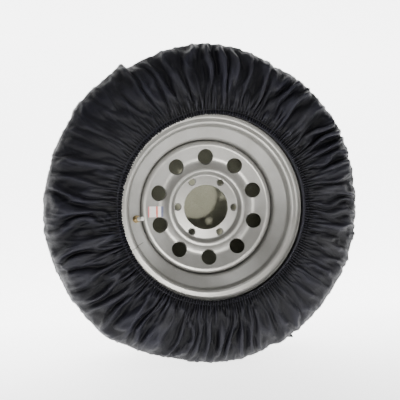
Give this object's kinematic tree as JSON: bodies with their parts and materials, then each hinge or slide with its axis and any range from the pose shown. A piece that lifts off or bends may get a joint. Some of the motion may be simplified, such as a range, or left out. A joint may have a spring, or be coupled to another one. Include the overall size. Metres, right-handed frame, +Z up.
{
  "type": "wheel cover set",
  "caption": "Black elasticated cloth cover drawn over a covered spare trailer wheel, its gathered mouth open round the steel rim.",
  "frame": {"origin": "centre of the wheel's hub mounting plane, on the wheel's axis", "axes": "+Y along the wheel's axis towards the closed back panel of the cover, -Y out of the elastic mouth and the dished face of the wheel, +Z up, +X to the right when the mouth is seen"},
  "size_m": [0.708, 0.2127, 0.708],
  "materials": {
    "silver_paint": "satin silver-grey paint on steel",
    "tyre_rubber": "moulded black rubber",
    "seal_rubber": "black seal rubber",
    "belt_steel": "brass-coated steel cord",
    "cover_cloth": "black woven nylon with a faint sheen",
    "lining_cloth": "napped beige lining",
    "elastic_band": "braided elastic",
    "seam_tape": "black folded seam tape",
    "valve_brass": "turned brass",
    "cap_plastic": "pale grey plastic",
    "spring_steel": "bright spring wire",
    "label_film": "printed film with plain colour bars"
  },
  "bodies": {
    "wheel": {"rim_barrel": "silver_paint", "wheel_disc": "silver_paint", "disc_welds": "silver_paint", "sidewall_front": "tyre_rubber", "sidewall_back": "tyre_rubber", "crown_ply": "tyre_rubber", "tyre_tread": "tyre_rubber", "rim_strip_front": "seal_rubber", "rim_strip_back": "seal_rubber", "bead_wire_front": "belt_steel", "bead_wire_back": "belt_steel", "steel_belts": "tyre_rubber", "valve_stem": "valve_brass", "valve_grommet": "seal_rubber", "valve_washer": "valve_brass", "valve_nut": "valve_brass", "valve_core_body": "valve_brass", "valve_core_spring": "spring_steel", "rating_label": "label_film"},
    "cover": {"cover_back_panel": "cover_cloth", "back_lining": "lining_cloth", "cover_tread_band": "cover_cloth", "cover_front_gather": "cover_cloth", "hem_casing": "cover_cloth", "hem_elastic": "elastic_band", "back_seam_binding": "seam_tape", "front_seam_binding": "seam_tape", "band_join_strip": "seam_tape"},
    "core_pin": {"valve_core_pin": "valve_brass"},
    "cap_carriage": {"cap_seal": "seal_rubber"},
    "cap": {"valve_cap": "cap_plastic"}
  },
  "joints": [
    {"name": "cover_off", "type": "slide", "parent": "wheel", "child": "cover", "axis": [0, 1, 0], "range_m": [0, 0.26], "deforming": ["cover_front_gather", "hem_casing", "hem_elastic"]},
    {"name": "core_pin_press", "type": "slide", "parent": "wheel", "child": "core_pin", "axis": [-0.5411, 0.837, -0.0818], "range_m": [0, 0.0012], "stiffness_N_per_m": 2000, "springref_m": -0.001, "deforming": ["valve_core_spring"]},
    {"name": "cap_lift", "type": "slide", "parent": "wheel", "child": "cap_carriage", "axis": [0.5411, -0.837, 0.0818], "range_m": [0, 0.00635]},
    {"name": "cap_turn", "type": "hinge", "parent": "cap_carriage", "child": "cap", "pos_m": [-0.16908, -0.04819, -0.02557], "axis": [0.5411, -0.837, 0.0818], "range_deg": [0, 2880]}
  ],
  "couplings": [
    {"joint": "cap_turn", "follows": "cap_lift", "rad_per_m": 7915.3}
  ]
}
